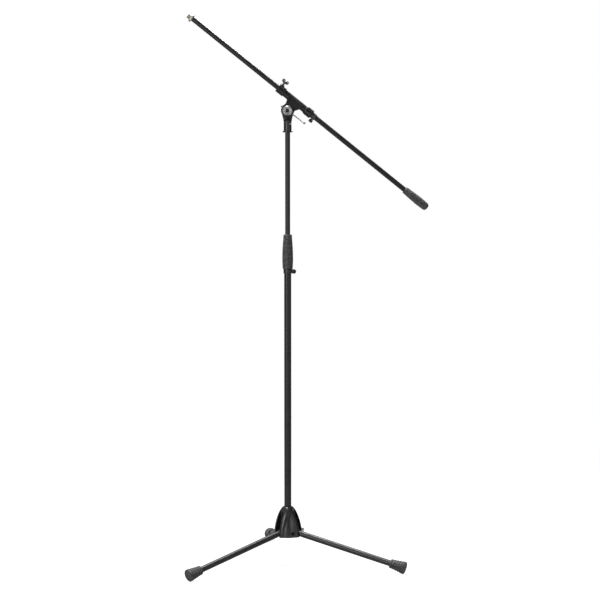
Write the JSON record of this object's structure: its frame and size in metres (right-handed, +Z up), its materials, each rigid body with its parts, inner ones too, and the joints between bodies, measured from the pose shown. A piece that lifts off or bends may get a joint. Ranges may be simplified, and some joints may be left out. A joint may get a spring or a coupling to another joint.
{
  "type": "boom microphone stand",
  "caption": "Folding tripod microphone stand with a telescopic post, twist clutch and a tilting, sliding boom arm with a counterweight and a threaded tip.",
  "frame": {"origin": "on the floor under the post's axis", "axes": "+Z up the post, +X towards the boom's counterweight, -Y towards the chrome pivot cap"},
  "size_m": [0.6763, 0.5837, 1.5535],
  "materials": {
    "gloss_cast": "gloss black enamel on a zinc casting",
    "black_plastic": "satin moulded plastic",
    "black_steel": "satin black powder coat",
    "boom_black": "satin black powder coat",
    "black_cast": "satin black paint on a casting",
    "grey_ring": "dark grey moulded plastic",
    "foot_rubber": "matt black rubber",
    "grip_rubber": "dimpled dark rubber",
    "zinc_steel": "zinc-plated steel",
    "black_screw": "black oxide steel",
    "chrome": "bright chrome plate",
    "dark_chrome": "smoky chrome plate",
    "nylon": "natural nylon",
    "fibre": "pressed fibre",
    "brass": "bright brass",
    "thread_nickel": "nickel plate"
  },
  "bodies": {
    "base": {"hub_housing": "gloss_cast", "hub_top_ring": "black_plastic", "leg_lock_ring": "zinc_steel", "tube_plug": "zinc_steel", "base_bolt": "zinc_steel", "base_washer": "zinc_steel", "leg_pivot_bolts": "black_screw", "lower_tube": "black_steel", "clutch_collar": "black_plastic", "clutch_body": "black_plastic", "clutch_collet": "nylon"},
    "lock": {"lock_screw": "zinc_steel", "lock_knob": "chrome"},
    "collar_screw": {"collar_stud": "zinc_steel", "collar_knob": "black_plastic"},
    "clutch": {"clutch_nut": "black_plastic", "clutch_grip": "grip_rubber"},
    "slider": {"guide_bush": "nylon"},
    "mast": {"snap_ring": "zinc_steel", "end_plug": "black_plastic", "upper_tube": "black_steel", "stop_ring": "black_plastic", "mast_socket": "black_plastic", "socket_screw": "chrome", "friction_washers": "fibre"},
    "bracket": {"pivot_nut": "zinc_steel", "boom_bracket": "black_cast", "front_collar": "black_cast", "clamp_pad": "brass", "rear_collar": "black_cast", "end_ring": "grey_ring"},
    "pivot_clamp": {"pivot_screw": "chrome"},
    "tommy": {"tommy_bar": "chrome"},
    "wing": {"wing_screw": "dark_chrome"},
    "rear": {"rear_stud": "zinc_steel", "rear_knob": "black_plastic"},
    "liner": {"sleeve_liner": "nylon"},
    "boom": {"boom_tube": "boom_black", "tip_plug": "brass", "thread_adaptor": "thread_nickel", "counterweight_core": "zinc_steel", "counterweight_grip": "grip_rubber"},
    "leg_1": {"leg_knuckle_1": "black_plastic", "leg_tube_1": "black_steel", "foot_1": "foot_rubber"},
    "leg_2": {"leg_knuckle_2": "black_plastic", "leg_tube_2": "black_steel", "foot_2": "foot_rubber"},
    "leg_3": {"leg_knuckle_3": "black_plastic", "leg_tube_3": "black_steel", "foot_3": "foot_rubber"}
  },
  "joints": [
    {"name": "leg_1_fold", "type": "hinge", "parent": "base", "child": "leg_1", "pos_m": [-0.02059, -0.01668, 0.0947], "axis": [-0.6293, 0.7771, 0], "range_deg": [0, 101]},
    {"name": "leg_2_fold", "type": "hinge", "parent": "base", "child": "leg_2", "pos_m": [0.02474, -0.0095, 0.0947], "axis": [-0.3584, -0.9336, 0], "range_deg": [0, 101]},
    {"name": "leg_3_fold", "type": "hinge", "parent": "base", "child": "leg_3", "pos_m": [-0.00415, 0.02617, 0.0947], "axis": [0.9877, 0.1564, 0], "range_deg": [0, 101]},
    {"name": "base_lock_turn", "type": "hinge", "parent": "base", "child": "lock", "pos_m": [0.04352, 0.03524, 0.094], "axis": [0.7771, 0.6293, 0], "range_deg": [0, 360]},
    {"name": "collar_knob_turn", "type": "hinge", "parent": "base", "child": "collar_screw", "pos_m": [0.01993, -0.02375, 0.837], "axis": [0.6428, -0.766, 0], "range_deg": [0, 360]},
    {"name": "clutch_turn", "type": "hinge", "parent": "base", "child": "clutch", "pos_m": [0, 0, 0.89], "axis": [0, 0, 1], "range_deg": [0, 120]},
    {"name": "height_slide", "type": "slide", "parent": "base", "child": "slider", "axis": [0, 0, 1], "range_m": [-0.283, 0.32]},
    {"name": "mast_swivel", "type": "hinge", "parent": "slider", "child": "mast", "pos_m": [0, 0, 0.51], "axis": [0, 0, 1], "continuous": true},
    {"name": "boom_tilt", "type": "hinge", "parent": "mast", "child": "bracket", "pos_m": [0, 0, 1.285], "axis": [0, 1, 0], "range_deg": [-122, 45]},
    {"name": "pivot_screw_turn", "type": "hinge", "parent": "bracket", "child": "pivot_clamp", "pos_m": [0, -0.018, 1.285], "axis": [0, -1, 0], "range_deg": [0, 300]},
    {"name": "tommy_bar_slide", "type": "slide", "parent": "pivot_clamp", "child": "tommy", "axis": [-0.7986, 0, 0.6018], "range_m": [0, 0.038]},
    {"name": "boom_roll", "type": "hinge", "parent": "bracket", "child": "liner", "pos_m": [0.02037, 0, 1.31033], "axis": [0.7793, 0, -0.6266], "continuous": true},
    {"name": "boom_slide", "type": "slide", "parent": "liner", "child": "boom", "axis": [0.7793, 0, -0.6266], "range_m": [-0.31, 0.29]},
    {"name": "wing_screw_turn", "type": "hinge", "parent": "bracket", "child": "wing", "pos_m": [-0.00707, 0, 1.36318], "axis": [0.6266, 0, 0.7793], "range_deg": [0, 360]},
    {"name": "rear_knob_turn", "type": "hinge", "parent": "bracket", "child": "rear", "pos_m": [0.06396, 0, 1.25603], "axis": [-0.6266, 0, -0.7793], "range_deg": [0, 360]}
  ]
}
